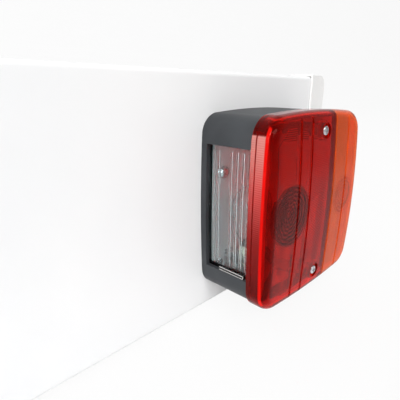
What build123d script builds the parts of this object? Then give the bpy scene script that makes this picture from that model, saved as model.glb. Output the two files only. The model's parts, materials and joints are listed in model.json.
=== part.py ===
"""Trailer lighting board: a hollow white board with an end cap and a rear lamp at each end.

Millimetres. X runs along the board, +Y points out of its back, +Z is up. The origin is the middle of
the board's back face. Lamps are described by depth, measured forward (along -Y) from the board's
front face, and by x (positive outboard) and z from the lamp's own centre. The right-hand lamp is
built and the left-hand one is its mirror image.
"""
from build123d import *
import math
import os

# Board
BOARD_LENGTH = 1220.0
BOARD_HEIGHT = 140.0
BOARD_THICK = 16.0
BOARD_WALL = 2.0
BOARD_EDGE_R = 2.5
WEB_COUNT = 3
FIXING_HOLE_D = 8.5
FIXING_SPAN_X = 600.0
FIXING_SPAN_Z = 100.0

# End caps
CAP_LIP = 13.0
CAP_END = 6.0
CAP_WALL = 1.3
CAP_END_SKIN = 2.5
CAP_CORNER_R = 7.0
CAP_EDGE_R = 0.9
CAP_FIT = 0.15
CAP_POCKET_MARGIN = 4.0
SPIGOT_LENGTH = 24.0
SPIGOT_FIT = 0.3

# Lamp place and outline
LAMP_END_GAP = 82.8
LAMP_DROP = 3.9
LAMP_WIDTH = 98.0
LAMP_HEIGHT = 107.0
LAMP_CORNER_R = 12.0
LAMP_BOW_TOP = 2.5
LAMP_BOW_SIDE = 1.5

# Lamp depths and walls
HOUSING_DEPTH = 34.4
HOUSING_WALL = 2.5
HOUSING_BACK = 2.5
SEAL_THICK = 0.6
SEAL_INSET = 0.1
LENS_DEPTH = 13.7
LENS_WALL = 2.4
LENS_PROUD = 1.0
LENS_EDGE_R = 5.7
CROWN_R = 730.0
LIP_FIT = 0.15
LIP_LENGTH = 4.4
LENS_BACK = HOUSING_DEPTH + SEAL_THICK
LENS_FRONT = LENS_BACK + LENS_DEPTH
LENS_INSET = LENS_WALL - LENS_PROUD

# Lens details
AMBER_X = 14.7
GROOVE_XS = (-23.9, -12.6, 30.9)
GROOVE_WIDTH = 1.9
GROOVE_DEPTH = 0.6
PRISM_PITCH = 1.04
PRISM_HEIGHT = 0.5
PRISM_HIGH = 93.6
PRISM_WIDE = 83.0
PRISM_CORNER = 9.0
PRISM_ROOT = 0.8
PRISM_BASE = 0.32
PANEL_GAP = 1.4
JOINT_GAP = 4.0
RING_PITCH = 2.2
RING_HEIGHT = 1.0
RING_BASE = 1.6
OPTICS_GAP = 0.6
EYE_GAP = 1.9
OPTICS_SIDES = 24
STOP_RING_R = 15.5
INDICATOR_RING_R = 13.0
SKIRT_PITCH = 1.1
SKIRT_RIB = 0.55
SKIRT_RISE = 0.35
SKIRT_ROOT = 0.6
SKIRT_HIGH = 88.0
SKIRT_REACH = 9.0
SKIRT_BACK_GAP = 0.6
SKIRT_FRONT_GAP = 7.2

# Number-plate window
WINDOW_HEIGHT = 72.0
WINDOW_BACK = 4.0
WINDOW_GAP = 0.3
WINDOW_THICK = 2.4
WINDOW_OVERLAP = 3.0
WINDOW_FRONT_GAP = 3.6
FLUTE_R = 0.8
FLUTE_RISE = 0.7
FLUTE_PITCH = 4.05
FLUTE_BORDER = 3.0
REAR_FLUTE_START = 6.1
REAR_FLUTE_COUNT = 2
REAR_FLUTE_PITCH = 3.4
FRONT_FLUTE_START = 18.6
FLANGE_BACK = 14.0
FLANGE_FRONT = 32.0
FLANGE_THICK = 1.6
FLANGE_FIT = 0.1
FLANGE_R = 0.8
RAIL_WALL = 1.5
RAIL_FIT = 0.2
RAIL_GRIP = 2.5
RAIL_END = 1.8
RAIL_SHORT = 2.0

# Fasteners
LENS_SCREW_X = 3.2
LENS_SCREW_Z = 43.0
LENS_SCREW_D = 3.5
LENS_SCREW_HEAD_D = 5.8
LENS_SCREW_HEAD = 2.2
LENS_SCREW_REACH = 12.0
LENS_HOLE_D = 4.2
RECESS_D = 8.8
RECESS_DEPTH = 2.4
RECESS_FLOOR = 2.2
RECESS_WALL = 1.2
BOSS_D = 8.4
SCREW_FIT = 0.05
HEAD_ROUND = 0.55
CROSS_WIDTH = 1.0
CROSS_SHARE = 0.62
CROSS_DEPTH = 1.1
BOLT_X = 34.0
BOLT_Z = 18.1
BOLT_D = 4.0
BOLT_HOLE_D = 4.4
BOLT_HEAD_D = 7.2
BOLT_HEAD = 2.7
BOLT_POST_D = 7.6
DOME_SHARE = 0.92
BOLT_PAST_NUT = 3.0
WASHER_D = 10.0
WASHER_THICK = 1.0
NUT_FLATS = 7.0
NUT_THICK = 3.2

# Reflector plate
PLATE_BACK = 3.0
PLATE_THICK = 1.5
PLATE_INSET = 4.6
PLATE_GAP = 0.2
PLATE_SCREW_X = 37.5
PLATE_SCREW_Z = 37.0
PLATE_SCREW_D = 2.9
PLATE_SCREW_HEAD_D = 5.4
PLATE_SCREW_HEAD = 1.9
PLATE_SCREW_REACH = 2.5
POST_D = 6.4
HOLE_FIT = 0.5
TRAY_WALL = 1.2
TRAY_DROP = 5.4
TRAY_SHORT = 3.2
PARTITION_WALL = 1.4
PARTITION_GAP = 2.5
PARTITION_INSET = 3.2
PLATE_FRONT = PLATE_BACK + PLATE_THICK
TRAY_FRONT = HOUSING_DEPTH - TRAY_DROP
TRAY_END = LAMP_WIDTH / 2 - PLATE_INSET - TRAY_WALL - TRAY_SHORT

# Bulbs and sockets
STOP_BULB_X = -28.5
INDICATOR_BULB_X = 31.0
BULB_Z = 0.6
BULB_DEPTH = 23.0
GLASS_R = 12.2
GLASS_WALL = 0.7
GLASS_NECK_R = 6.5
GLASS_LENGTH = 22.5
NECK_DEPTH = 4.0
BULB_CAP_R = 7.5
BULB_CAP_LENGTH = 18.0
BULB_FIT = 0.1
PIN_R = 1.0
PIN_REACH = 0.7
PIN_RISE = 6.5
CONTACT_R = 2.0
CONTACT_RISE = 0.8
LEAD_R = 0.4
LEAD_SPAN = 6.0
COIL_R = 0.7
SOCKET_WALL = 0.8
SOCKET_HEIGHT = 17.0
SOCKET_FLOOR = 0.8
SOCKET_FLOOR_HOLE_R = 4.5
SLOT_FIT = 0.3
BRACKET_WIDTH = 6.0
BRACKET_HEIGHT = 13.0
INSULATOR_THICK = 2.0
INSULATOR_FIT = 0.05
STUD_R = 1.2
STUD_HEAD = 0.5
STRIP_WIDTH = 5.0
STRIP_THICK = 0.6
STRIP_FIT = 0.4
BULB_CAP_TOP = BULB_Z - GLASS_LENGTH
BULB_CAP_BOTTOM = BULB_CAP_TOP - BULB_CAP_LENGTH
INSULATOR_TOP = BULB_CAP_BOTTOM - CONTACT_RISE - STUD_HEAD
SOCKET_BOTTOM = INSULATOR_TOP - INSULATOR_THICK - SOCKET_FLOOR
SOCKET_R = BULB_CAP_R + BULB_FIT

# Terminal block and cable inlet
TERMINAL_WAYS = 3
TERMINAL_PITCH = 6.0
TERMINAL_X = 0.5
TERMINAL_Z = -14.0
TERMINAL_HEIGHT = 11.0
TERMINAL_DEPTH = 9.0
TERMINAL_SCREW_D = 3.0
TERMINAL_SCREW_REACH = 4.0
TERMINAL_SCREW_RISE = 0.4
TERMINAL_SLOT = 0.7
GROMMET_X = 0.0
GROMMET_Z = 14.0
GROMMET_BORE_D = 7.0
GROMMET_NECK_D = 11.0
GROMMET_FLANGE_D = 15.0
GROMMET_FLANGE = 1.6
GROMMET_MEMBRANE = 1.0
GROMMET_FIT = 0.1
CABLE_HOLE_D = 16.0

PAST = 1.0
CHAMBER_HEIGHT = (BOARD_HEIGHT - 2 * BOARD_WALL - WEB_COUNT * BOARD_WALL) / (WEB_COUNT + 1)
CHAMBER_DEPTH = BOARD_THICK - 2 * BOARD_WALL
PANEL_LENGTH = BOARD_LENGTH - 2 * CAP_END
LAMP_X = BOARD_LENGTH / 2 - LAMP_END_GAP
WINDOW_OUTER_X = -LAMP_WIDTH / 2 + HOUSING_WALL + WINDOW_GAP
WINDOW_INNER_X = WINDOW_OUTER_X + WINDOW_THICK
WINDOW_FRONT = LENS_FRONT - LENS_WALL - WINDOW_FRONT_GAP
WINDOW_TOP = WINDOW_HEIGHT / 2 + WINDOW_OVERLAP
RAIL_X = WINDOW_INNER_X + RAIL_FIT
PLATE_START = RAIL_X + RAIL_WALL + PLATE_GAP


def lamp_face(inset):
    """The lamp's rounded, slightly bowed square, taken in all round by inset."""
    half_w = LAMP_WIDTH / 2 - inset
    half_h = LAMP_HEIGHT / 2 - inset
    x = half_w - LAMP_BOW_SIDE
    z = half_h - LAMP_BOW_TOP
    sides = [
        ThreePointArc((-x, z), (0, half_h), (x, z)),
        ThreePointArc((x, z), (half_w, 0), (x, -z)),
        ThreePointArc((x, -z), (0, -half_h), (-x, -z)),
        ThreePointArc((-x, -z), (-half_w, 0), (-x, z)),
    ]
    face = make_face(sides)
    return fillet(face.vertices(), LAMP_CORNER_R - inset)


def slab(face, back, front):
    """A flat shape, drawn in x and z, from one depth to another."""
    return extrude(Plane.XZ.offset(back) * face, amount=front - back)


def block(x0, x1, back, front, z0, z1):
    """A rectangular block between two places along x, depth and z."""
    return Pos((x0 + x1) / 2, -(back + front) / 2, (z0 + z1) / 2) * Box(x1 - x0, front - back, z1 - z0)


def rod(x, z, radius, back, front):
    """A round bar along the depth."""
    return slab(Pos(x, z) * Circle(radius), back, front)


def post(x, radius, z0, z1):
    """A round bar along z, on a bulb's axis depth."""
    return Pos(x, -BULB_DEPTH, (z0 + z1) / 2) * Cylinder(radius, z1 - z0)


def crown(z):
    """How far the lens front falls back at height z."""
    return CROWN_R - math.sqrt(CROWN_R ** 2 - z ** 2)


SCREW_SEAT = LENS_FRONT - crown(LENS_SCREW_Z) - RECESS_DEPTH
BOSS_TOP = SCREW_SEAT - RECESS_FLOOR
EYES = ((STOP_BULB_X, STOP_RING_R), (INDICATOR_BULB_X, INDICATOR_RING_R))


def pan_screw(x, z, thread_d, head_d, head, back, seat):
    """A cross-recessed pan-head screw from depth back to its head's underside at seat."""
    front = seat + head
    arm = head_d / 2 * CROSS_SHARE
    half = CROSS_WIDTH / 2
    top = rod(x, z, head_d / 2, seat, front)
    top = fillet(top.faces().sort_by(Axis.Y)[0].edges(), head * HEAD_ROUND)
    screw = rod(x, z, thread_d / 2, back, seat) + top
    screw -= block(x - arm, x + arm, front - CROSS_DEPTH, front, z - half, z + half)
    return screw - block(x - half, x + half, front - CROSS_DEPTH, front, z - arm, z + arm)


def four(x, z):
    """The four places at plus and minus x and z."""
    return [(sx * x, sz * z) for sx in (-1, 1) for sz in (-1, 1)]


def board_panel():
    """Hollow extrusion with flat webs, drilled for the lamps, their cables and the board's fixings."""
    section = fillet(Rectangle(BOARD_THICK, BOARD_HEIGHT).vertices(), BOARD_EDGE_R)
    for row in range(WEB_COUNT + 1):
        low = -BOARD_HEIGHT / 2 + BOARD_WALL + row * (CHAMBER_HEIGHT + BOARD_WALL)
        section -= Pos(0, low + CHAMBER_HEIGHT / 2) * Rectangle(CHAMBER_DEPTH, CHAMBER_HEIGHT)
    panel = extrude(Plane.YZ.offset(-PANEL_LENGTH / 2) * section, amount=PANEL_LENGTH)
    panel = Pos(0, -BOARD_THICK / 2, 0) * panel
    holes = [(x, z, FIXING_HOLE_D) for x, z in four(FIXING_SPAN_X / 2, FIXING_SPAN_Z / 2)]
    for side in (-1, 1):
        holes += [(side * (LAMP_X + s * BOLT_X), BOLT_Z - LAMP_DROP, BOLT_HOLE_D) for s in (-1, 1)]
        holes += [(side * (LAMP_X + GROMMET_X), GROMMET_Z - LAMP_DROP, GROMMET_NECK_D + 2 * GROMMET_FIT)]
    for x, z, diameter in holes:
        panel -= rod(x, z, diameter / 2, -PAST, BOARD_THICK + PAST)
    return panel


def end_cap():
    """Moulded cap for the right-hand end: a lip round the board, an end wall and two spigots."""
    end = BOARD_LENGTH / 2
    inner = end - CAP_END
    lip = inner - CAP_LIP
    grow = CAP_WALL + CAP_FIT
    top = BOARD_HEIGHT / 2
    cap = block(lip, end, -grow, BOARD_THICK + grow, -top - grow, top + grow)
    cap = fillet(cap.edges().filter_by(Axis.Y).group_by(Axis.X)[-1], CAP_CORNER_R)
    flats = cap.faces().filter_by(Axis.Y)
    cap = fillet(flats.edges(), CAP_EDGE_R)
    cap -= block(lip - PAST, inner, -CAP_FIT, BOARD_THICK + CAP_FIT, -top - CAP_FIT, top + CAP_FIT)
    margin = BOARD_WALL + CAP_POCKET_MARGIN
    skin = end - CAP_END_SKIN
    cap -= block(inner - PAST, skin, BOARD_WALL, BOARD_THICK - BOARD_WALL, -top + margin, top - margin)
    first = top - BOARD_WALL - CHAMBER_HEIGHT / 2
    half = CHAMBER_HEIGHT / 2 - SPIGOT_FIT
    root = margin - BOARD_WALL
    for side in (-1, 1):
        low = side * first - half + root
        high = side * first + half - root
        cap += block(inner - SPIGOT_LENGTH, skin + PAST, BOARD_WALL + SPIGOT_FIT,
                     BOARD_THICK - BOARD_WALL - SPIGOT_FIT, low, high)
    return cap


def lamp_housing():
    """Charcoal tray with a front lip, screw bosses, plate posts and the window opening with its rails."""
    lip_front = LENS_BACK + LIP_LENGTH
    inside = lamp_face(HOUSING_WALL)
    tray = slab(lamp_face(0), 0, HOUSING_DEPTH)
    tray += slab(lamp_face(LENS_INSET + LIP_FIT), HOUSING_DEPTH, lip_front)
    tray -= slab(inside, HOUSING_BACK, lip_front)
    rail_front = HOUSING_DEPTH - RAIL_SHORT
    rail_z = WINDOW_TOP + RAIL_FIT
    room = slab(lamp_face(HOUSING_WALL / 2), 0, HOUSING_DEPTH)
    for side in (-1, 1):
        ends = sorted((side * (WINDOW_TOP - RAIL_GRIP), side * (rail_z + RAIL_END)))
        rail = block(-LAMP_WIDTH / 2, RAIL_X + RAIL_WALL, 0, rail_front, *ends)
        gap = sorted((0, side * rail_z))
        rail -= block(-LAMP_WIDTH / 2, RAIL_X, HOUSING_BACK, rail_front, *gap)
        tray += rail & room
        tray += rod(LENS_SCREW_X, side * LENS_SCREW_Z, BOSS_D / 2, 0, BOSS_TOP)
    for x, z in four(PLATE_SCREW_X, PLATE_SCREW_Z):
        tray += rod(x, z, POST_D / 2, 0, PLATE_BACK)
        tray -= rod(x, z, PLATE_SCREW_D / 2 + SCREW_FIT, PLATE_BACK - PLATE_SCREW_REACH, PLATE_BACK)
    for side in (-1, 1):
        tray -= rod(LENS_SCREW_X, side * LENS_SCREW_Z, LENS_SCREW_D / 2 + SCREW_FIT,
                    BOSS_TOP - LENS_SCREW_REACH, BOSS_TOP)
        tray += rod(side * BOLT_X, BOLT_Z, BOLT_POST_D / 2, 0, PLATE_BACK)
        tray -= rod(side * BOLT_X, BOLT_Z, BOLT_HOLE_D / 2, 0, PLATE_BACK)
    tray -= rod(GROMMET_X, GROMMET_Z, GROMMET_NECK_D / 2 + GROMMET_FIT, 0, HOUSING_BACK)
    half = WINDOW_HEIGHT / 2
    tray -= block(-LAMP_WIDTH, WINDOW_INNER_X, WINDOW_BACK, lip_front, -half, half)
    clear = SKIRT_HIGH / 2 + SKIRT_PITCH
    return tray - block(-LAMP_WIDTH, SKIRT_REACH - LAMP_WIDTH / 2, HOUSING_DEPTH, lip_front, -clear, clear)


def lens_seal():
    """Rubber ring between the housing's shoulder and the lens."""
    ring = slab(lamp_face(SEAL_INSET), HOUSING_DEPTH, LENS_BACK)
    return ring - slab(lamp_face(LENS_INSET), HOUSING_DEPTH, LENS_BACK)


def lens_form(inset, radius, front, edge):
    """A crowned, rounded block: the lens's outside or its inside."""
    form = slab(lamp_face(inset), LENS_BACK, front)
    barrel = Pos(0, radius - front, 0) * Rot(0, 90, 0) * Cylinder(radius, 2 * LAMP_WIDTH)
    form = form & barrel
    return fillet(form.faces().sort_by(Axis.Y)[0].edges(), edge)


def rib_panels():
    """Where the ribs run along x, clear of the grooves and of the joint between the colours."""
    stop = [-PRISM_WIDE / 2, GROOVE_XS[0] - PANEL_GAP, GROOVE_XS[0] + PANEL_GAP,
            GROOVE_XS[1] - PANEL_GAP, GROOVE_XS[1] + PANEL_GAP, AMBER_X - JOINT_GAP]
    turn = [AMBER_X + PANEL_GAP, GROOVE_XS[2] - PANEL_GAP, GROOVE_XS[2] + PANEL_GAP, PRISM_WIDE / 2]
    edges = stop + turn
    return list(zip(edges[::2], edges[1::2]))


def prisms():
    """Fine horizontal ribs for the inside of the lens, following its crown."""
    inside = LENS_FRONT - LENS_WALL
    count = int(PRISM_HIGH / PRISM_PITCH)
    start = -count * PRISM_PITCH / 2
    ribbed = []
    for k in range(count):
        z = start + k * PRISM_PITCH
        ribbed.append((crown(z) - inside + PRISM_BASE, z))
        tip = z + PRISM_PITCH / 2
        ribbed.append((crown(tip) - inside + PRISM_HEIGHT, tip))
    ribbed.append((crown(-start) - inside + PRISM_BASE, -start))
    rooted = [(y - PRISM_ROOT, z) for y, z in reversed(ribbed[::2])]
    face = make_face(Polyline(*ribbed, *rooted, close=True))
    ribs = None
    for x0, x1 in rib_panels():
        run = extrude(Plane.YZ.offset(x0) * face, amount=x1 - x0)
        ribs = run if ribs is None else ribs + run
    gaps = [(x, BULB_Z, int(r / RING_PITCH) * RING_PITCH + EYE_GAP) for x, r in EYES]
    seat = RECESS_D / 2 + RECESS_WALL + OPTICS_GAP
    gaps += [(LENS_SCREW_X, side * LENS_SCREW_Z, seat) for side in (-1, 1)]
    for x, z, radius in gaps:
        room = RegularPolygon(radius, OPTICS_SIDES, major_radius=False)
        ribs -= slab(Pos(x, z) * room, LENS_BACK, LENS_FRONT)
    field = chamfer(Rectangle(PRISM_WIDE, PRISM_HIGH).vertices(), PRISM_CORNER)
    return ribs & slab(field, LENS_BACK, LENS_FRONT)


def skirt_ribs():
    """Fine level ribs on the inside of the lens's inboard skirt."""
    back = LENS_BACK + SKIRT_BACK_GAP
    front = LENS_FRONT - SKIRT_FRONT_GAP
    band = slab(lamp_face(LENS_INSET - SKIRT_ROOT), back, front)
    band -= slab(lamp_face(LENS_INSET + SKIRT_RISE), back, front)
    count = int(SKIRT_HIGH / SKIRT_PITCH)
    start = -(count - 1) * SKIRT_PITCH / 2
    far = -LAMP_WIDTH / 2 + SKIRT_REACH
    half = SKIRT_RIB / 2
    levels = [start + k * SKIRT_PITCH for k in range(count)]
    return [band & block(-LAMP_WIDTH, far, back, front, z - half, z + half) for z in levels]


def rings(x, radius):
    """A bull's-eye of stepped rings for the inside of the lens."""
    inside = LENS_FRONT - LENS_WALL
    count = int(radius / RING_PITCH)
    steps = []
    for k in range(count):
        steps.append((k * RING_PITCH, inside - RING_BASE - RING_HEIGHT))
        steps.append(((k + 1) * RING_PITCH, inside - RING_BASE))
    outer = count * RING_PITCH
    steps += [(outer, inside + PRISM_ROOT), (0, inside + PRISM_ROOT)]
    face = make_face(Polyline(*[(r, -d) for r, d in steps], close=True))
    return Pos(x, 0, BULB_Z) * revolve(face, Axis.Y)


def whole_lens():
    """The front lens before it is parted into red and amber."""
    inside = LENS_FRONT - LENS_WALL
    lens = lens_form(-LENS_PROUD, CROWN_R, LENS_FRONT, LENS_EDGE_R)
    hollow = lens_form(LENS_INSET, CROWN_R - LENS_WALL, inside, LENS_EDGE_R - LENS_WALL)
    lens -= hollow
    lens += prisms()
    lens += skirt_ribs()
    for x, radius in EYES:
        lens += rings(x, radius)
    for side in (-1, 1):
        z = side * LENS_SCREW_Z
        lens += rod(LENS_SCREW_X, z, RECESS_D / 2 + RECESS_WALL, BOSS_TOP, inside - crown(z))
        lens -= rod(LENS_SCREW_X, z, RECESS_D / 2, SCREW_SEAT, LENS_FRONT + PAST)
        lens -= rod(LENS_SCREW_X, z, LENS_HOLE_D / 2, BOSS_TOP - PAST, LENS_FRONT)
    for x in (*GROOVE_XS, AMBER_X):
        turned = Pos(x, CROWN_R - LENS_FRONT, 0) * Rot(0, 90, 0)
        floor = turned * Cylinder(CROWN_R - GROOVE_DEPTH, 2 * GROOVE_WIDTH)
        half = GROOVE_WIDTH / 2
        strip = block(x - half, x + half, LENS_BACK, LENS_FRONT + PAST, -LAMP_HEIGHT, LAMP_HEIGHT)
        lens -= strip - floor
    return lens


def window_lens():
    """Clear pane behind the housing's side opening, with upright flutes on its inner face."""
    pane = slab(lamp_face(HOUSING_WALL + WINDOW_GAP), HOUSING_BACK, WINDOW_FRONT)
    pane = pane & block(-LAMP_WIDTH / 2, WINDOW_INNER_X, 0, LENS_FRONT, -WINDOW_TOP, WINDOW_TOP)
    reach = WINDOW_HEIGHT / 2 - FLUTE_BORDER
    rear = [REAR_FLUTE_START + k * REAR_FLUTE_PITCH for k in range(REAR_FLUTE_COUNT)]
    front_count = int((WINDOW_FRONT - 2 * FLUTE_R - FRONT_FLUTE_START) / FLUTE_PITCH)
    front = [FRONT_FLUTE_START + k * FLUTE_PITCH for k in range(front_count + 1)]
    for depth in rear + front:
        pane += Pos(WINDOW_INNER_X + FLUTE_RISE - FLUTE_R, -depth, 0) * Cylinder(FLUTE_R, 2 * reach)
    ledge = -WINDOW_HEIGHT / 2 + FLANGE_FIT
    flange = block(-LAMP_WIDTH / 2 + LAMP_BOW_SIDE, WINDOW_INNER_X - WINDOW_THICK / 2,
                   FLANGE_BACK, FLANGE_FRONT, ledge, ledge + FLANGE_THICK)
    return pane + fillet(flange.edges().filter_by(Axis.Z).group_by(Axis.X)[0], FLANGE_R)


def reflector_plate():
    """Light-grey tray on the housing's posts, open to the window, with a wall between the two bulbs."""
    plate = slab(lamp_face(PLATE_INSET), PLATE_BACK, PLATE_FRONT)
    plate = plate & block(PLATE_START, LAMP_WIDTH, 0, LENS_FRONT, -LAMP_HEIGHT, LAMP_HEIGHT)
    rim = slab(lamp_face(PLATE_INSET), PLATE_BACK, TRAY_FRONT)
    rim -= slab(lamp_face(PLATE_INSET + TRAY_WALL), 0, LENS_FRONT)
    plate += rim & block(PLATE_START, TRAY_END, 0, LENS_FRONT, -LAMP_HEIGHT, LAMP_HEIGHT)
    half = PARTITION_WALL / 2
    wall_front = LENS_FRONT - LENS_WALL - PARTITION_GAP
    wall = slab(lamp_face(PARTITION_INSET), PLATE_BACK, wall_front)
    wall = wall & block(AMBER_X - half, AMBER_X + half, 0, LENS_FRONT, -LAMP_HEIGHT, LAMP_HEIGHT)
    barrel = Pos(0, CROWN_R - LENS_FRONT, 0) * Rot(0, 90, 0)
    plate += wall & barrel * Cylinder(CROWN_R - LENS_WALL - PARTITION_GAP, 2 * LAMP_WIDTH)
    for side in (-1, 1):
        plate -= rod(LENS_SCREW_X, side * LENS_SCREW_Z, BOSS_D / 2 + HOLE_FIT, 0, LENS_FRONT)
        plate -= rod(side * BOLT_X, BOLT_Z, BOLT_HOLE_D / 2, 0, PLATE_FRONT)
    for x, z in four(PLATE_SCREW_X, PLATE_SCREW_Z):
        plate -= rod(x, z, PLATE_SCREW_D / 2 + SCREW_FIT, 0, PLATE_FRONT)
    return plate - rod(GROMMET_X, GROMMET_Z, CABLE_HOLE_D / 2, 0, PLATE_FRONT)


def bulb_glass(x):
    """Pear-shaped hollow glass with an open neck."""
    def profile(radius, neck):
        top = BULB_Z + radius
        lean = radius * math.sqrt(0.5)
        return [
            Line((0, BULB_CAP_TOP - NECK_DEPTH), (0, top)),
            ThreePointArc((0, top), (lean, BULB_Z + lean), (radius, BULB_Z)),
            TangentArc((radius, BULB_Z), (neck, BULB_CAP_TOP), tangent=(0, -1)),
            Line((neck, BULB_CAP_TOP), (neck, BULB_CAP_TOP - NECK_DEPTH)),
            Line((neck, BULB_CAP_TOP - NECK_DEPTH), (0, BULB_CAP_TOP - NECK_DEPTH)),
        ]
    outer = make_face(profile(GLASS_R, GLASS_NECK_R))
    inner = make_face(profile(GLASS_R - GLASS_WALL, GLASS_NECK_R - GLASS_WALL))
    turned = revolve(Plane.XZ * outer, Axis.Z) - revolve(Plane.XZ * inner, Axis.Z)
    return Pos(x, -BULB_DEPTH, 0) * turned


def bulb_cap(x):
    """Bayonet cap with two side pins, a contact bead and a seat for the glass."""
    cap = post(x, BULB_CAP_R, BULB_CAP_BOTTOM, BULB_CAP_TOP)
    cap -= post(x, GLASS_NECK_R + BULB_FIT, BULB_CAP_TOP - NECK_DEPTH, BULB_CAP_TOP)
    cap += post(x, CONTACT_R, BULB_CAP_BOTTOM - CONTACT_RISE, BULB_CAP_BOTTOM)
    pin = Pos(x, -BULB_DEPTH, BULB_CAP_BOTTOM + PIN_RISE) * Rot(0, 90, 0)
    pins = pin * Cylinder(PIN_R, 2 * (BULB_CAP_R + PIN_REACH))
    return cap + pins


def bulb_filament(x):
    """Two lead wires and the coil between them."""
    floor = BULB_CAP_TOP - NECK_DEPTH
    wires = Pos(x, -BULB_DEPTH, BULB_Z) * Rot(0, 90, 0) * Cylinder(COIL_R, LEAD_SPAN + 2 * COIL_R)
    for side in (-1, 1):
        wires += post(x + side * LEAD_SPAN / 2, LEAD_R, floor, BULB_Z)
    return wires


def bulb_socket(x):
    """Bayonet socket with two slots, a holed floor and a bracket down to the plate."""
    top = SOCKET_BOTTOM + SOCKET_HEIGHT
    socket = post(x, SOCKET_R + SOCKET_WALL, SOCKET_BOTTOM, top)
    half = BRACKET_WIDTH / 2
    high = SOCKET_BOTTOM + BRACKET_HEIGHT
    socket += block(x - half, x + half, PLATE_FRONT, BULB_DEPTH, SOCKET_BOTTOM, high)
    socket -= post(x, SOCKET_R, SOCKET_BOTTOM + SOCKET_FLOOR, top)
    socket -= post(x, SOCKET_FLOOR_HOLE_R, SOCKET_BOTTOM, top)
    slot = PIN_R + SLOT_FIT
    reach = SOCKET_R + SOCKET_WALL + PAST
    low = BULB_CAP_BOTTOM + PIN_RISE - slot
    return socket - block(x - reach, x + reach, BULB_DEPTH - slot, BULB_DEPTH + slot, low, top)


def socket_insulator(x):
    """Insulating disc on the socket's floor, holed for the contact stud."""
    disc = post(x, SOCKET_R - INSULATOR_FIT, INSULATOR_TOP - INSULATOR_THICK, INSULATOR_TOP)
    return disc - post(x, STUD_R + INSULATOR_FIT, INSULATOR_TOP - INSULATOR_THICK, INSULATOR_TOP)


def contact_strip(x):
    """Brass stud through the insulator and a strip from under it to the plate."""
    half = STRIP_WIDTH / 2
    under = SOCKET_BOTTOM - STRIP_FIT
    strip = post(x, CONTACT_R, INSULATOR_TOP, INSULATOR_TOP + STUD_HEAD)
    strip += post(x, STUD_R, under, INSULATOR_TOP)
    return strip + block(x - half, x + half, PLATE_FRONT, BULB_DEPTH + half, under - STRIP_THICK, under)


def terminal_places():
    """Where the terminals stand along x."""
    first = TERMINAL_X - (TERMINAL_WAYS - 1) * TERMINAL_PITCH / 2
    return [first + k * TERMINAL_PITCH for k in range(TERMINAL_WAYS)]


def terminal_block():
    """Moulded block on the plate with a screw hole for each way."""
    half = TERMINAL_WAYS * TERMINAL_PITCH / 2
    front = PLATE_FRONT + TERMINAL_DEPTH
    body = block(TERMINAL_X - half, TERMINAL_X + half, PLATE_FRONT, front,
                 TERMINAL_Z - TERMINAL_HEIGHT / 2, TERMINAL_Z + TERMINAL_HEIGHT / 2)
    for x in terminal_places():
        body -= rod(x, TERMINAL_Z, TERMINAL_SCREW_D / 2 + SCREW_FIT, front - TERMINAL_SCREW_REACH, front)
    return body


def terminal_screws():
    """Slotted grub screws, one to each way."""
    front = PLATE_FRONT + TERMINAL_DEPTH
    tip = front + TERMINAL_SCREW_RISE
    screws = []
    for x in terminal_places():
        screw = rod(x, TERMINAL_Z, TERMINAL_SCREW_D / 2, front - TERMINAL_SCREW_REACH, tip)
        half = TERMINAL_SLOT / 2
        screws.append(screw - block(x - half, x + half, front - TERMINAL_SCREW_RISE, tip,
                                    TERMINAL_Z - TERMINAL_SCREW_D, TERMINAL_Z + TERMINAL_SCREW_D))
    return screws


def cable_grommet():
    """Closed rubber bush through the housing and the board, with a flange at each end."""
    back = -BOARD_THICK - GROMMET_FLANGE
    front = HOUSING_BACK + GROMMET_FLANGE
    bush = rod(GROMMET_X, GROMMET_Z, GROMMET_NECK_D / 2, back, front)
    bush += rod(GROMMET_X, GROMMET_Z, GROMMET_FLANGE_D / 2, back, -BOARD_THICK)
    bush += rod(GROMMET_X, GROMMET_Z, GROMMET_FLANGE_D / 2, HOUSING_BACK, front)
    bush -= rod(GROMMET_X, GROMMET_Z, GROMMET_BORE_D / 2, back + GROMMET_MEMBRANE, front)
    return bush


def lamp_bolts():
    """Dome-head bolts from the front of the reflector plate to behind the board."""
    tail = -BOARD_THICK - WASHER_THICK - NUT_THICK - BOLT_PAST_NUT
    bolts = []
    for s in (-1, 1):
        head = rod(s * BOLT_X, BOLT_Z, BOLT_HEAD_D / 2, PLATE_FRONT, PLATE_FRONT + BOLT_HEAD)
        head = fillet(head.faces().sort_by(Axis.Y)[0].edges(), BOLT_HEAD * DOME_SHARE)
        bolts.append(rod(s * BOLT_X, BOLT_Z, BOLT_D / 2, tail, PLATE_FRONT) + head)
    return bolts


def lamp_washers():
    """Flat washers against the board's back."""
    back = -BOARD_THICK - WASHER_THICK
    rounds = []
    for s in (-1, 1):
        disc = rod(s * BOLT_X, BOLT_Z, WASHER_D / 2, back, -BOARD_THICK)
        rounds.append(disc - rod(s * BOLT_X, BOLT_Z, BOLT_HOLE_D / 2, back, -BOARD_THICK))
    return rounds


def lamp_nuts():
    """Hexagon nuts on the washers."""
    front = -BOARD_THICK - WASHER_THICK
    nuts = []
    for s in (-1, 1):
        hexagon = Pos(s * BOLT_X, BOLT_Z) * RegularPolygon(NUT_FLATS / 2, 6, major_radius=False)
        nut = slab(hexagon, front - NUT_THICK, front)
        nuts.append(nut - rod(s * BOLT_X, BOLT_Z, BOLT_D / 2 + SCREW_FIT, front - NUT_THICK, front))
    return nuts


def lens_screws():
    """Pan-head screws that hold the lens to the housing's bosses."""
    back = BOSS_TOP - LENS_SCREW_REACH
    return [pan_screw(LENS_SCREW_X, s * LENS_SCREW_Z, LENS_SCREW_D, LENS_SCREW_HEAD_D, LENS_SCREW_HEAD,
                      back, SCREW_SEAT) for s in (-1, 1)]


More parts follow.
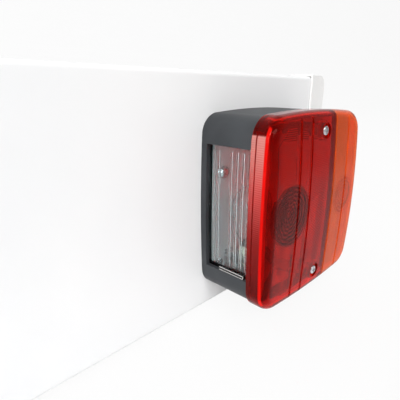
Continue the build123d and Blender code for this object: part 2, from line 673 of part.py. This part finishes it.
def plate_screws():
    """Pan-head screws that hold the reflector plate to its posts."""
    back = PLATE_BACK - PLATE_SCREW_REACH
    return [pan_screw(x, z, PLATE_SCREW_D, PLATE_SCREW_HEAD_D, PLATE_SCREW_HEAD, back, PLATE_FRONT)
            for x, z in four(PLATE_SCREW_X, PLATE_SCREW_Z)]


def lamp_pieces():
    """Every piece of the right-hand lamp by name, in the lamp's own place."""
    lens = whole_lens()
    far = 2 * LAMP_WIDTH
    pieces = {
        "lamp_housing": lamp_housing(),
        "lens_seal": lens_seal(),
        "red_lens": lens & block(-far, AMBER_X, 0, far, -far, far),
        "amber_lens": lens & block(AMBER_X, far, 0, far, -far, far),
        "window_lens": window_lens(),
        "reflector_plate": reflector_plate(),
        "contact_strips": [contact_strip(STOP_BULB_X), contact_strip(INDICATOR_BULB_X)],
        "terminal_block": terminal_block(),
        "terminal_screws": terminal_screws(),
        "cable_grommet": cable_grommet(),
        "lamp_bolts": lamp_bolts(),
        "lamp_washers": lamp_washers(),
        "lamp_nuts": lamp_nuts(),
        "lens_screws": lens_screws(),
        "plate_screws": plate_screws(),
    }
    for name, x in (("stop", STOP_BULB_X), ("indicator", INDICATOR_BULB_X)):
        pieces[name + "_bulb_glass"] = bulb_glass(x)
        pieces[name + "_bulb_cap"] = bulb_cap(x)
        pieces[name + "_bulb_filament"] = bulb_filament(x)
        pieces[name + "_socket"] = bulb_socket(x)
        pieces[name + "_insulator"] = socket_insulator(x)
    return pieces


def solids_of(shape):
    """One solid as it is, several as a group."""
    items = shape if isinstance(shape, list) else [shape]
    solids = [solid for item in items for solid in item.solids()]
    return solids[0] if len(solids) == 1 else Compound(children=solids)


os.makedirs("parts", exist_ok=True)
export_step(solids_of(board_panel()), "parts/board_panel.step")
cap = end_cap()
export_step(solids_of(cap), "parts/right_end_cap.step")
export_step(solids_of(mirror(cap, about=Plane.YZ)), "parts/left_end_cap.step")
for name, shape in lamp_pieces().items():
    placed = Pos(LAMP_X, -BOARD_THICK, -LAMP_DROP) * solids_of(shape)
    export_step(placed, "parts/right_" + name + ".step")
    export_step(solids_of(mirror(placed, about=Plane.YZ)), "parts/left_" + name + ".step")
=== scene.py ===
import json
import math

import bpy
from mathutils import Euler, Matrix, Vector


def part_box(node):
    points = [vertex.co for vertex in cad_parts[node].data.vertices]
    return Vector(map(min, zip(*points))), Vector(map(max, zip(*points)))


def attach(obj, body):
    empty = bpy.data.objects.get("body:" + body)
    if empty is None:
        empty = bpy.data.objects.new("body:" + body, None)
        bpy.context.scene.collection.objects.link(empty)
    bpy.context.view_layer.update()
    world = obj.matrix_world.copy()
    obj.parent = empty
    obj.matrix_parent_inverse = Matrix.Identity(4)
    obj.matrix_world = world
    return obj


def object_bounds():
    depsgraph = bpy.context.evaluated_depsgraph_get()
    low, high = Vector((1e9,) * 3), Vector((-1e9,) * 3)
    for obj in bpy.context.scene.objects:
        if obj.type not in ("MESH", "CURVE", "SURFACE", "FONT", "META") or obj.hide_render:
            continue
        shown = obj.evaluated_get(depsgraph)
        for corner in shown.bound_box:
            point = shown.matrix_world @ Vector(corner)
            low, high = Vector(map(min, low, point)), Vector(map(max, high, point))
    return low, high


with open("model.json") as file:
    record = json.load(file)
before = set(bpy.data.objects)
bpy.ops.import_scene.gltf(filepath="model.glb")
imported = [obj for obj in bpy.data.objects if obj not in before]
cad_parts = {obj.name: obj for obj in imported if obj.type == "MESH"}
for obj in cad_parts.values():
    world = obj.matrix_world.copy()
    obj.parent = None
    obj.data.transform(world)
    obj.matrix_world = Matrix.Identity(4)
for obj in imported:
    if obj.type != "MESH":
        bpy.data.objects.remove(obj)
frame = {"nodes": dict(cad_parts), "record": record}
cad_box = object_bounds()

SCENE = bpy.context.scene
SCENE.view_settings.view_transform = "Standard"
SIDES = {-1: "left", 1: "right"}


# Places on the right-hand lamp, in metres in the shared frame; the left-hand lamp mirrors them

LENS_LOW, LENS_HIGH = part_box("right_red_lens")
WINDOW_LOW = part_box("right_window_lens")[0]
LENS_SIDE = LENS_LOW.x
LENS_FRONT = LENS_LOW.y
LENS_MID = (LENS_LOW.z + LENS_HIGH.z) / 2


def bulb_place(node):
    """Where the middle of a bulb's round glass stands along x and z."""
    low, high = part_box(node)
    return (low.x + high.x) / 2, high.z - (high.x - low.x) / 2


# The ribbed skirt on the lens's inboard side, painted pale pink at the top as painted light shining through
# it and darkening to painted shade at its foot, with a thin darker line across it
SKIRT_X = LENS_SIDE + 0.0028
SKIRT_Y = LENS_FRONT + 0.0057
SKIRT_TOP = LENS_MID + 0.0441
SKIRT_LOW = LENS_MID - 0.0481
SKIRT_BLUR = 0.0008
SKIRT_LINE_Y = LENS_FRONT + 0.0107
SKIRT_LINE = 0.00025

# The band where the skirt turns, given a painted glow, and the rounding in front of it, given painted shade
BAND_X = LENS_SIDE + 0.0036
BAND_Y = LENS_FRONT + 0.0040
ROUND_X = LENS_SIDE + 0.0078
ROUND_BLUR = 0.0025

# The bull's-eyes in front of the bulbs
RED_EYE = bulb_place("right_stop_bulb_glass")
RED_EYE_R = 0.0170
AMBER_EYE = bulb_place("right_indicator_bulb_glass")
AMBER_EYE_R = 0.0129
EYE_BLUR = 0.0003
RING_PITCH = 0.0022

# The clear ledge at the foot of the window, and a painted highlight line round its edge
LEDGE_Z = WINDOW_LOW.z + 0.0048
LEDGE_BLUR = 0.0001
EDGE_X = WINDOW_LOW.x + 0.00005
EDGE_BACK = WINDOW_LOW.y + 0.0289
EDGE_FRONT = WINDOW_LOW.y + 0.0121
EDGE_HEIGHT = 0.0016
EDGE_TUBE = 0.00014
EDGE_STEPS = 10
EDGE_ROUNDS = 3


# Node helpers, with three amounts of detail for noise

COARSE = 3.0
FINE = 2.0
SMOOTH = 1.0
TONE_ENDS = (0.3, 0.7)


class Look:
    """One procedural material: a Principled shader with small helpers to feed it."""

    def __init__(self, name, **sockets):
        self.mat = bpy.data.materials.new(name)
        self.mat.use_nodes = True
        self.tree = self.mat.node_tree
        self.shader = self.tree.nodes["Principled BSDF"]
        self.place = self.node("ShaderNodeTexCoord").outputs["Object"]
        for socket, value in sockets.items():
            self.shader.inputs[socket.replace("_", " ")].default_value = value

    def node(self, kind, **settings):
        made = self.tree.nodes.new(kind)
        for key, value in settings.items():
            setattr(made, key, value)
        return made

    def link(self, source, target):
        self.tree.links.new(source, target)

    def feed(self, source, socket):
        """Joins a source to one of the shader's inputs."""
        self.link(source, self.shader.inputs[socket])

    def axes(self):
        """The x, y and z of the place on the surface."""
        split = self.node("ShaderNodeSeparateXYZ")
        self.link(self.place, split.inputs[0])
        return [split.outputs[axis] for axis in "XYZ"]

    def math(self, operation, first, second=None):
        """A sum of one or two inputs; the second may be a plain number."""
        made = self.node("ShaderNodeMath", operation=operation)
        self.link(first, made.inputs[0])
        if isinstance(second, bpy.types.NodeSocket):
            self.link(second, made.inputs[1])
        elif second is not None:
            made.inputs[1].default_value = second
        return made.outputs[0]

    def all_of(self, *masks):
        """1 only where every mask is 1."""
        total = masks[0]
        for mask in masks[1:]:
            total = self.math("MULTIPLY", total, mask)
        return total

    def noise(self, scale, detail=COARSE, stretch=None):
        """Noise with so many patches to the metre."""
        made = self.node("ShaderNodeTexNoise")
        made.inputs["Scale"].default_value = scale
        made.inputs["Detail"].default_value = detail
        source = self.place
        if stretch:
            mapping = self.node("ShaderNodeMapping")
            mapping.inputs["Scale"].default_value = stretch
            self.link(self.place, mapping.inputs["Vector"])
            source = mapping.outputs["Vector"]
        self.link(source, made.inputs["Vector"])
        return made.outputs["Fac"]

    def scale(self, source, stops):
        """A colour scale with a colour at each stop."""
        made = self.node("ShaderNodeValToRGB")
        marks = made.color_ramp.elements
        marks[0].position, marks[1].position = stops[0][0], stops[-1][0]
        for stop in stops[1:-1]:
            marks.new(stop[0])
        for mark, (place, colour) in zip(marks, stops):
            mark.color = (*colour, 1.0)
        self.link(source, made.inputs["Fac"])
        return made.outputs["Color"]

    def ramp(self, source, tones, ends=TONE_ENDS):
        """From one tone to the other as the source goes between the ends."""
        return self.scale(source, list(zip(ends, tones)))

    def spread(self, source, low, high):
        """Goes from low to high as the source goes from 0 to 1."""
        made = self.node("ShaderNodeMapRange")
        made.inputs["To Min"].default_value = low
        made.inputs["To Max"].default_value = high
        self.link(source, made.inputs["Value"])
        return made.outputs["Result"]

    def between(self, source, start, end):
        """Rises from 0 to 1 as the source goes from start to end."""
        made = self.node("ShaderNodeMapRange")
        made.inputs["From Min"].default_value = start
        made.inputs["From Max"].default_value = end
        self.link(source, made.inputs["Value"])
        return made.outputs["Result"]

    def mix(self, mask, base, other):
        """The base colour, going over to the other one where the mask is 1."""
        made = self.node("ShaderNodeMix", data_type="RGBA")
        self.link(mask, made.inputs["Factor"])
        self.link(base, made.inputs["A"])
        self.link(other, made.inputs["B"])
        return made.outputs["Result"]

    def bump(self, source, strength, distance):
        """Raises the surface, on top of any bump before it."""
        made = self.node("ShaderNodeBump")
        made.inputs["Strength"].default_value = strength
        made.inputs["Distance"].default_value = distance
        self.link(source, made.inputs["Height"])
        chained = self.shader.inputs["Normal"]
        if chained.links:
            self.link(chained.links[0].from_socket, made.inputs["Normal"])
        self.link(made.outputs["Normal"], chained)


# Plain materials

GRAIN_PER_PATCH = 30.0
GRAIN_STRENGTH = 0.10
GRAIN_HEIGHT = 0.0002

PLAIN = {
    "cap_white": dict(
        tones=((0.83, 0.83, 0.82), (0.88, 0.88, 0.87)), rough=(0.30, 0.42), patch=30.0,
        grain=1500.0, detail=COARSE),
    "housing_charcoal": dict(
        tones=((0.030, 0.033, 0.037), (0.044, 0.048, 0.053)), rough=(0.42, 0.54), patch=40.0,
        grain=2600.0, strength=0.16, Specular_IOR_Level=0.28),
    "rubber_black": dict(
        tones=((0.012, 0.012, 0.013), (0.022, 0.022, 0.022)), rough=(0.60, 0.80), patch=60.0),
    "reflector_grey": dict(
        tones=((0.77, 0.80, 0.81), (0.83, 0.85, 0.86)), rough=(0.25, 0.40), patch=45.0),
    "terminal_nylon": dict(
        tones=((0.62, 0.62, 0.57), (0.72, 0.71, 0.66)), rough=(0.40, 0.55), patch=60.0),
    "brass": dict(
        tones=((0.62, 0.50, 0.30), (0.74, 0.62, 0.40)), rough=(0.25, 0.40), patch=90.0, Metallic=1.0),
    "bulb_brass": dict(
        tones=((0.66, 0.60, 0.48), (0.76, 0.70, 0.58)), rough=(0.20, 0.35), patch=90.0, Metallic=1.0),
    "zinc_steel": dict(
        tones=((0.60, 0.60, 0.62), (0.74, 0.74, 0.76)), rough=(0.18, 0.32), patch=120.0, Metallic=1.0),
    "socket_steel": dict(
        tones=((0.52, 0.52, 0.53), (0.64, 0.64, 0.66)), rough=(0.20, 0.35), patch=90.0, Metallic=1.0),
    "insulator_brown": dict(
        tones=((0.12, 0.06, 0.03), (0.18, 0.09, 0.05)), rough=(0.50, 0.65), patch=80.0),
    "filament_wire": dict(
        tones=((0.30, 0.30, 0.32), (0.40, 0.40, 0.42)), rough=(0.30, 0.45), patch=120.0, Metallic=1.0),
    # A white stand-in for the glint along the window ledge's edge: a painted highlight
    "window_edge_highlight": dict(
        tones=((0.86, 0.85, 0.83), (0.93, 0.92, 0.90)), rough=(0.15, 0.25), patch=200.0),
}


def plain_look(name, tones, rough, patch, grain=None, strength=GRAIN_STRENGTH, detail=FINE, **sockets):
    """A moulded, rubber or metal surface with small changes of tone and gloss and a fine grain."""
    look = Look(name, **sockets)
    look.feed(look.ramp(look.noise(patch), tones), "Base Color")
    look.feed(look.spread(look.noise(2 * patch), *rough), "Roughness")
    look.bump(look.noise(grain or GRAIN_PER_PATCH * patch, detail), strength, GRAIN_HEIGHT)
    return look.mat


# White extruded board

BOARD_TONES = ((0.84, 0.85, 0.86), (0.90, 0.90, 0.90))
BOARD_PATCH = 7.0
BOARD_ROUGH = (0.26, 0.38)
BOARD_ROUGH_PATCH = 22.0
DRAW_LINES = 900.0
DRAW_STRETCH = (0.02, 1.0, 1.0)
PEEL = 220.0
PEEL_STRENGTH = 0.05
PEEL_HEIGHT = 0.0004


def board_look():
    """White extruded plastic: faint draw lines along the board and a soft orange peel."""
    look = Look("board_white")
    look.feed(look.ramp(look.noise(BOARD_PATCH), BOARD_TONES), "Base Color")
    look.feed(look.spread(look.noise(BOARD_ROUGH_PATCH), *BOARD_ROUGH), "Roughness")
    look.bump(look.noise(DRAW_LINES, FINE, DRAW_STRETCH), GRAIN_STRENGTH, GRAIN_HEIGHT)
    look.bump(look.noise(PEEL), PEEL_STRENGTH, PEEL_HEIGHT)
    return look.mat


# Tinted lenses

LENS_IOR = 1.20
LENS_ROUGH = (0.04, 0.08)
LENS_ROUGH_PATCH = 45.0
LENS_WAVE = 60.0
LENS_WAVE_STRENGTH = 0.02
LENS_WAVE_HEIGHT = 0.0004
LENS_PATCH = 25.0
RING_ENDS = (0.25, 0.75)
RED_CLEAR = 0.88
RED_TONES = ((0.75, 0.011, 0.003), (0.82, 0.015, 0.004))
RED_RINGS = ((0.20, 0.012, 0.008), (0.48, 0.024, 0.014))
RED_GLOSS = (1.0, 0.35, 0.30, 1.0)
AMBER_CLEAR = 0.66
AMBER_TONES = ((0.96, 0.145, 0.026), (0.98, 0.175, 0.034))
AMBER_RINGS = ((0.72, 0.080, 0.014), (0.96, 0.150, 0.028))
AMBER_GLOSS = (1.0, 0.65, 0.45, 1.0)

# Painted light and shade on the skirt, from painted shade at its foot to a pale pink painted glow at its top
SKIRT_PAINTED_LIGHT = (
    (0.05, (0.14, 0.003, 0.003)),
    (0.42, (0.36, 0.022, 0.020)),
    (0.70, (0.78, 0.120, 0.110)),
    (0.98, (1.00, 0.400, 0.350)),
)
SKIRT_CLEAR = 0.50
SKIRT_WAVES = 285.6
SKIRT_RIPPLE = 0.06
# Painted glow on the band where the skirt turns, standing in for light in the plastic's edge
BAND_CLEAR = 0.45
BAND_PAINTED_GLOW = ((0.97, 0.006, 0.004), (1.0, 0.010, 0.006))
BAND_PATCH = 120.0
# Painted shade on the rounding between the skirt and the front
ROUND_PAINTED_SHADE = ((0.40, 0.004, 0.002), (0.50, 0.006, 0.003))
ROUND_PATCH = 80.0


class LensLook(Look):
    """Tinted clear plastic, deeper in tone where the stepped bull's-eye makes it thicker."""

    def __init__(self, name, tones, rings, clear, gloss, eye, eye_r):
        super().__init__(name, Transmission_Weight=clear, IOR=LENS_IOR, Specular_Tint=gloss)
        self.feed(self.spread(self.noise(LENS_ROUGH_PATCH, SMOOTH), *LENS_ROUGH), "Roughness")
        self.bump(self.noise(LENS_WAVE, SMOOTH), LENS_WAVE_STRENGTH, LENS_WAVE_HEIGHT)
        x, self.y, self.z = self.axes()
        self.x = self.math("ABSOLUTE", x)
        away = self.distance(*eye)
        step = self.between(self.math("PINGPONG", away, RING_PITCH / 2), 0.0, RING_PITCH / 2)
        inside = self.between(away, eye_r + EYE_BLUR, eye_r - EYE_BLUR)
        body = self.ramp(self.noise(LENS_PATCH, SMOOTH), tones)
        self.body = self.mix(inside, body, self.ramp(step, rings, RING_ENDS))
        self.feed(self.body, "Base Color")

    def distance(self, x, z):
        """How far the surface is from a line along y, on either lamp."""
        flat = self.node("ShaderNodeCombineXYZ")
        self.link(self.x, flat.inputs["X"])
        self.link(self.z, flat.inputs["Z"])
        made = self.node("ShaderNodeVectorMath", operation="DISTANCE")
        made.inputs[1].default_value = (x, 0.0, z)
        self.link(flat.outputs[0], made.inputs[0])
        return made.outputs["Value"]


def skirt_mask(look):
    """1 on the inboard skirt, apart from a thin line across it where the darker rounding tone shows."""
    line = look.math("ABSOLUTE", look.math("SUBTRACT", look.y, SKIRT_LINE_Y))
    return look.all_of(
        look.between(look.x, SKIRT_X + SKIRT_BLUR, SKIRT_X),
        look.between(look.y, SKIRT_Y - SKIRT_BLUR, SKIRT_Y),
        look.between(look.z, SKIRT_TOP, SKIRT_TOP - SKIRT_BLUR),
        look.between(line, SKIRT_LINE, 2 * SKIRT_LINE),
    )


def painted_skirt_light(look):
    """Painted light on the skirt: a pale pink painted glow at the top that darkens to painted shade down the
    skirt, with fine level ribs drawn as ripples in it.
    """
    waves = look.node("ShaderNodeTexWave", bands_direction="Z")
    waves.inputs["Scale"].default_value = SKIRT_WAVES
    look.link(look.place, waves.inputs["Vector"])
    ripple = look.spread(waves.outputs["Fac"], -SKIRT_RIPPLE, SKIRT_RIPPLE)
    lit = look.math("ADD", look.between(look.z, SKIRT_LOW, SKIRT_TOP), ripple)
    return look.scale(lit, SKIRT_PAINTED_LIGHT)


def band_mask(look):
    """1 on the band where the skirt turns to the front, which is given a painted glow."""
    return look.all_of(
        look.between(look.x, BAND_X + SKIRT_BLUR, BAND_X),
        look.between(look.y, SKIRT_Y + SKIRT_LINE, SKIRT_Y - SKIRT_LINE),
        look.between(look.y, BAND_Y - SKIRT_LINE, BAND_Y + SKIRT_LINE),
    )


def red_lens_look():
    """The red lens, with painted light and shade: a pale pink painted glow on the inboard skirt, a painted
    glow on the band where it turns, and painted shade on the rounding to the front.
    """
    look = LensLook("lens_red", RED_TONES, RED_RINGS, RED_CLEAR, RED_GLOSS, RED_EYE, RED_EYE_R)
    skirt = skirt_mask(look)
    band = band_mask(look)
    # Painted shade on the rounding, painted glow on the band and painted light on the skirt
    rounding = look.between(look.x, ROUND_X + ROUND_BLUR, ROUND_X - ROUND_BLUR)
    dark = look.ramp(look.noise(ROUND_PATCH, SMOOTH), ROUND_PAINTED_SHADE)
    glow = look.ramp(look.noise(BAND_PATCH, FINE), BAND_PAINTED_GLOW)
    tone = look.mix(rounding, look.body, dark)
    tone = look.mix(skirt, tone, painted_skirt_light(look))
    tone = look.mix(band, tone, glow)
    look.feed(tone, "Base Color")
    skirt_clear = look.spread(skirt, RED_CLEAR, SKIRT_CLEAR)
    band_clear = look.spread(band, RED_CLEAR, BAND_CLEAR)
    look.feed(look.math("MINIMUM", skirt_clear, band_clear), "Transmission Weight")
    return look.mat


def amber_lens_look():
    """The amber lens, a little milkier than the red one."""
    look = LensLook("lens_amber", AMBER_TONES, AMBER_RINGS, AMBER_CLEAR, AMBER_GLOSS, AMBER_EYE, AMBER_EYE_R)
    return look.mat


# Clear window and bulb glass

PANE_IOR = 1.49
PANE_TONES = ((0.83, 0.955, 0.965), (0.87, 0.98, 0.985))
PANE_PATCH = 40.0
PANE_ROUGH = (0.02, 0.08)
PANE_ROUGH_PATCH = 70.0
PANE_WAVE = 120.0
PANE_WAVE_STRENGTH = 0.04
PANE_WAVE_HEIGHT = 0.0004
LEDGE_PAINTED_SHADE = ((0.05, 0.05, 0.055), (0.08, 0.08, 0.085))
LEDGE_PATCH = 60.0
GLASS_IOR = 1.5
GLASS_TONES = ((0.95, 0.96, 0.96), (0.98, 0.98, 0.98))
GLASS_PATCH = 60.0
GLASS_ROUGH = (0.0, 0.02)
GLASS_ROUGH_PATCH = 50.0


def window_look():
    """Clear plastic pane with a slight haze; its ledge is coloured near-black as painted shade in the
    opening.
    """
    look = Look("window_clear", Transmission_Weight=1.0, IOR=PANE_IOR)
    pane = look.ramp(look.noise(PANE_PATCH, SMOOTH), PANE_TONES)
    # Painted shade: the clear ledge is coloured near-black
    ledge = look.ramp(look.noise(LEDGE_PATCH, SMOOTH), LEDGE_PAINTED_SHADE)
    low = look.between(look.axes()[2], LEDGE_Z + LEDGE_BLUR, LEDGE_Z - LEDGE_BLUR)
    look.feed(look.mix(low, pane, ledge), "Base Color")
    look.feed(look.spread(look.noise(PANE_ROUGH_PATCH), *PANE_ROUGH), "Roughness")
    look.bump(look.noise(PANE_WAVE, SMOOTH), PANE_WAVE_STRENGTH, PANE_WAVE_HEIGHT)
    return look.mat


def glass_look():
    """Thin clear bulb glass."""
    look = Look("bulb_glass", Transmission_Weight=1.0, IOR=GLASS_IOR)
    look.feed(look.ramp(look.noise(GLASS_PATCH, SMOOTH), GLASS_TONES), "Base Color")
    look.feed(look.spread(look.noise(GLASS_ROUGH_PATCH), *GLASS_ROUGH), "Roughness")
    return look.mat


# Every node's material

LOOKS = {name: plain_look(name, **finish) for name, finish in PLAIN.items()}
LOOKS["board_white"] = board_look()
LOOKS["lens_red"] = red_lens_look()
LOOKS["lens_amber"] = amber_lens_look()
LOOKS["window_clear"] = window_look()
LOOKS["bulb_glass"] = glass_look()

for entry in frame["record"]["subparts"]:
    shown = frame["nodes"][entry["node"]]
    shown.data.materials.clear()
    shown.data.materials.append(LOOKS[entry["material_slot"]])


# A painted highlight along the edge of the window's ledge

def ledge_path():
    """The edge's line in y and z: along the top, round the front end and back along the foot."""
    reach = EDGE_HEIGHT / 2
    path = [(EDGE_BACK, LEDGE_Z)]
    for k in range(EDGE_STEPS + 1):
        turn = math.pi * k / EDGE_STEPS
        path.append((EDGE_FRONT - reach * math.sin(turn), LEDGE_Z - reach + reach * math.cos(turn)))
    path.append((EDGE_BACK, LEDGE_Z - EDGE_HEIGHT))
    return path


def ledge_edge_highlight(side):
    """A thin white tube round the outer edge of the clear ledge at the foot of the window: a painted
    highlight for the glint on that edge.
    """
    path = ledge_path()
    curve = bpy.data.curves.new("ledge_edge_highlight", "CURVE")
    curve.dimensions = "3D"
    curve.bevel_depth = EDGE_TUBE
    curve.bevel_resolution = EDGE_ROUNDS
    curve.use_fill_caps = True
    spline = curve.splines.new("POLY")
    spline.points.add(len(path) - 1)
    for point, (y, z) in zip(spline.points, path):
        point.co = (side * EDGE_X, y, z, 1.0)
    drawn = bpy.data.objects.new("ledge_edge_highlight", curve)
    mesh = bpy.data.meshes.new_from_object(drawn)
    bpy.data.objects.remove(drawn)
    mesh.materials.clear()
    mesh.materials.append(LOOKS["window_edge_highlight"])
    mesh.shade_smooth()
    piece = bpy.data.objects.new("ledge_edge_highlight_" + SIDES[side], mesh)
    SCENE.collection.objects.link(piece)
    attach(piece, "root")


for side in SIDES:
    ledge_edge_highlight(side)


# Floor and backdrop

FLOOR_Z = cad_box[0].z
FLOOR_HALF = 9.0
FLOOR_FRONT = -6.0
WALL_Y = 1.6
WALL_TOP = 4.0
BEND = 0.6
BEND_STEPS = 12
FLOOR_FADE = (-0.32, -0.12)
FLOOR_PALE = 0.90
PAPER_PATCH = 3.0
PALE_PAPER = ((0.78, 0.78, 0.78), (0.82, 0.82, 0.82))
GREY_PAPER = ((0.47, 0.47, 0.47), (0.50, 0.50, 0.50))
PAPER_ROUGH = 0.9
PAPER_GLOSS = 0.1


def floor_mesh():
    """A floor that sweeps up into a backdrop."""
    rows = [(FLOOR_FRONT, FLOOR_Z), (WALL_Y - BEND, FLOOR_Z)]
    for k in range(1, BEND_STEPS + 1):
        turn = math.pi / 2 * k / BEND_STEPS
        rows.append((WALL_Y - BEND + BEND * math.sin(turn), FLOOR_Z + BEND - BEND * math.cos(turn)))
    rows.append((WALL_Y, WALL_TOP))
    points = [(x, y, z) for y, z in rows for x in (-FLOOR_HALF, FLOOR_HALF)]
    faces = [(2 * k, 2 * k + 1, 2 * k + 3, 2 * k + 2) for k in range(len(rows) - 1)]
    mesh = bpy.data.meshes.new("floor")
    mesh.from_pydata(points, [], faces)
    return mesh


def shown_rays(look):
    """1 for the rays that show the background: from the camera, off a gloss or through clear plastic."""
    path = look.node("ShaderNodeLightPath")
    total = path.outputs["Is Camera Ray"]
    for name in ("Is Glossy Ray", "Is Transmission Ray"):
        total = look.math("MAXIMUM", total, path.outputs[name])
    return total


def floor_look():
    """White paper under and behind the board, going over to light grey paper in front of it."""
    look = Look("floor_white", Roughness=PAPER_ROUGH, Specular_IOR_Level=PAPER_GLOSS)
    back = look.between(look.axes()[1], *FLOOR_FADE)
    pale = look.ramp(look.noise(PAPER_PATCH), PALE_PAPER)
    grey = look.ramp(look.noise(PAPER_PATCH), GREY_PAPER)
    look.feed(look.mix(back, grey, pale), "Base Color")
    white = look.node("ShaderNodeEmission")
    blend = look.node("ShaderNodeMixShader")
    look.link(look.all_of(shown_rays(look), look.spread(back, 0.0, FLOOR_PALE)), blend.inputs["Fac"])
    look.link(look.shader.outputs[0], blend.inputs[1])
    look.link(white.outputs[0], blend.inputs[2])
    look.link(blend.outputs[0], look.tree.nodes["Material Output"].inputs["Surface"])
    return look.mat


floor = bpy.data.objects.new("floor", floor_mesh())
floor.data.materials.append(floor_look())
SCENE.collection.objects.link(floor)


# Light

BRIGHT_WAY = (0.0, 1.0, -0.15)
DIM_FROM = -0.25
BRIGHT_FROM = 0.15
DIM_LEVEL = 0.42
BRIGHT_LEVEL = 1.0
WHITE = (1.0, 1.0, 1.0, 1.0)
LAMP_PLACE = (0.527, -0.03, 0.0)
SOFTBOXES = {
    "key": dict(place=(-4.77, -3.37, 5.00), size=1.8, power=214.0),
    "front": dict(place=(0.05, -1.65, 1.15), size=0.8, power=16.0),
    "side": dict(place=(-4.60, -1.17, 1.20), size=2.0, power=90.0),
}


def studio_world():
    """A white room that is brightest behind the board and dimmer in front of it."""
    world = bpy.data.worlds.new("studio")
    world.use_nodes = True
    SCENE.world = world
    tree = world.node_tree
    facing = tree.nodes.new("ShaderNodeVectorMath")
    facing.operation = "DOT_PRODUCT"
    facing.inputs[1].default_value = Vector(BRIGHT_WAY).normalized()
    tree.links.new(tree.nodes.new("ShaderNodeTexCoord").outputs["Generated"], facing.inputs[0])
    level = tree.nodes.new("ShaderNodeMapRange")
    level.inputs["From Min"].default_value = DIM_FROM
    level.inputs["From Max"].default_value = BRIGHT_FROM
    level.inputs["To Min"].default_value = DIM_LEVEL
    level.inputs["To Max"].default_value = BRIGHT_LEVEL
    tree.links.new(facing.outputs["Value"], level.inputs["Value"])
    tree.links.new(level.outputs["Result"], tree.nodes["Background"].inputs["Strength"])
    tree.nodes["Background"].inputs["Color"].default_value = WHITE


def softbox(name, place, size, power):
    """A square area lamp at one place, turned towards the right-hand lamp."""
    data = bpy.data.lights.new(name, "AREA")
    data.energy = power
    data.size = size
    lamp = bpy.data.objects.new(name, data)
    lamp.location = place
    aim = Vector(LAMP_PLACE) - Vector(place)
    lamp.rotation_euler = aim.to_track_quat("-Z", "Y").to_euler()
    lamp.visible_camera = False
    SCENE.collection.objects.link(lamp)


studio_world()
for name, setting in SOFTBOXES.items():
    softbox(name, **setting)


# Camera

FRAME_PX = 400.0
FOCAL_PX = 365.70
AXIS_PX = (220.53, 195.18)
SENSOR_MM = 36.0
NEAREST = 0.005
CAMERA_PLACE = (0.3388, -0.1595, 0.0614)
CAMERA_TURN = (73.583, -0.860, -47.135)

lens = bpy.data.cameras.new("camera")
lens.sensor_width = SENSOR_MM
lens.lens = FOCAL_PX / FRAME_PX * SENSOR_MM
lens.shift_x = (FRAME_PX / 2 - AXIS_PX[0]) / FRAME_PX
lens.shift_y = (AXIS_PX[1] - FRAME_PX / 2) / FRAME_PX
lens.clip_start = NEAREST
camera = bpy.data.objects.new("camera", lens)
camera.location = CAMERA_PLACE
camera.rotation_euler = Euler([math.radians(angle) for angle in CAMERA_TURN], "XYZ")
SCENE.collection.objects.link(camera)
SCENE.camera = camera
